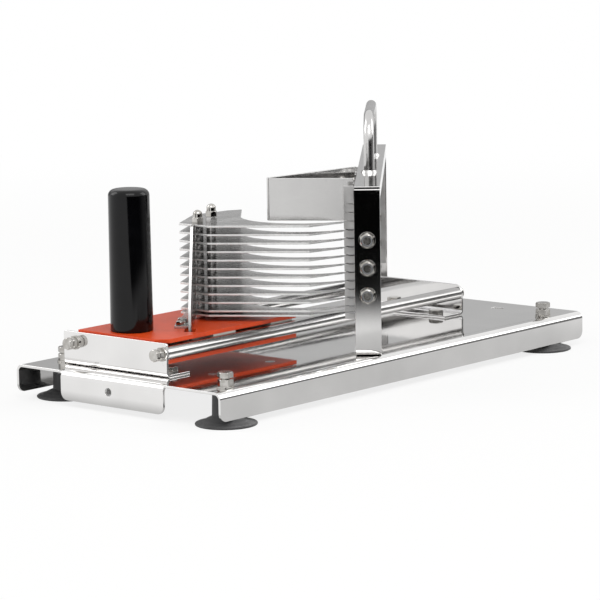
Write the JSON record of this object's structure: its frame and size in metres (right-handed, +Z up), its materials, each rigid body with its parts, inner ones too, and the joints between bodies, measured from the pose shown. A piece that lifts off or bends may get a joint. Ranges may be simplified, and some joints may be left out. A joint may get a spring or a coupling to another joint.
{
  "type": "tomato slicer",
  "caption": "Push-type tomato slicer: a gripped slide on guide rods drives finger plates and the fruit through a stack of oblique blades on a footed steel base.",
  "frame": {"origin": "on the bench under the centre of the base plate, with the slide at its front stop", "axes": "+X is the cutting stroke from the grip towards the blades, +Y the far side, +Z up"},
  "size_m": [0.433, 0.2153, 0.197],
  "materials": {
    "polished_steel": "mirror-polished stainless sheet",
    "satin_steel": "bright rolled stainless sheet with cut edges",
    "ground_blade_steel": "ground blade steel with a bevelled edge",
    "rod_steel": "ground and polished round bar",
    "fastener_steel": "bright stainless fasteners",
    "red_board": "satin orange-red plastic board",
    "block_plastic": "natural white plastic",
    "black_grip": "glossy black plastic",
    "foot_rubber": "dark grey rubber"
  },
  "bodies": {
    "root": {"base_plate": "polished_steel", "foot_front_near": "foot_rubber", "foot_front_far": "foot_rubber", "foot_rear_near": "foot_rubber", "foot_rear_far": "foot_rubber", "foot_bolts": "fastener_steel", "front_bracket": "polished_steel", "rear_bracket": "polished_steel", "bracket_screws": "fastener_steel", "guide_rod_near": "rod_steel", "guide_rod_far": "rod_steel", "rod_bolts": "fastener_steel", "hex_nuts": "fastener_steel", "washers": "fastener_steel", "upright_near": "polished_steel", "upright_far": "polished_steel", "frame_bridge": "polished_steel", "comb_near": "satin_steel", "comb_far": "satin_steel", "comb_bolts": "fastener_steel", "comb_nuts": "fastener_steel", "carrying_bow": "polished_steel", "guard": "polished_steel", "guard_screws": "fastener_steel", "blade_01": "ground_blade_steel", "blade_02": "ground_blade_steel", "blade_03": "ground_blade_steel", "blade_04": "ground_blade_steel", "blade_05": "ground_blade_steel", "blade_06": "ground_blade_steel", "blade_07": "ground_blade_steel", "blade_08": "ground_blade_steel", "blade_09": "ground_blade_steel", "blade_10": "ground_blade_steel", "blade_11": "ground_blade_steel"},
    "slide": {"slide_top_board": "red_board", "slide_low_board": "red_board", "guide_blocks": "block_plastic", "slide_screws": "fastener_steel", "grip": "black_grip", "grip_stud": "fastener_steel", "grip_nut": "fastener_steel", "pusher_sheet": "satin_steel", "sheet_screws": "fastener_steel", "tie_bolts": "fastener_steel", "tie_spacers": "satin_steel", "acorn_nuts": "fastener_steel", "finger_plate_01": "satin_steel", "finger_plate_02": "satin_steel", "finger_plate_03": "satin_steel", "finger_plate_04": "satin_steel", "finger_plate_05": "satin_steel", "finger_plate_06": "satin_steel", "finger_plate_07": "satin_steel", "finger_plate_08": "satin_steel", "finger_plate_09": "satin_steel", "finger_plate_10": "satin_steel", "finger_plate_11": "satin_steel", "finger_plate_12": "satin_steel"}
  },
  "joints": [
    {"name": "slide_travel", "type": "slide", "parent": "root", "child": "slide", "axis": [1, 0, 0], "range_m": [0, 0.145]}
  ]
}
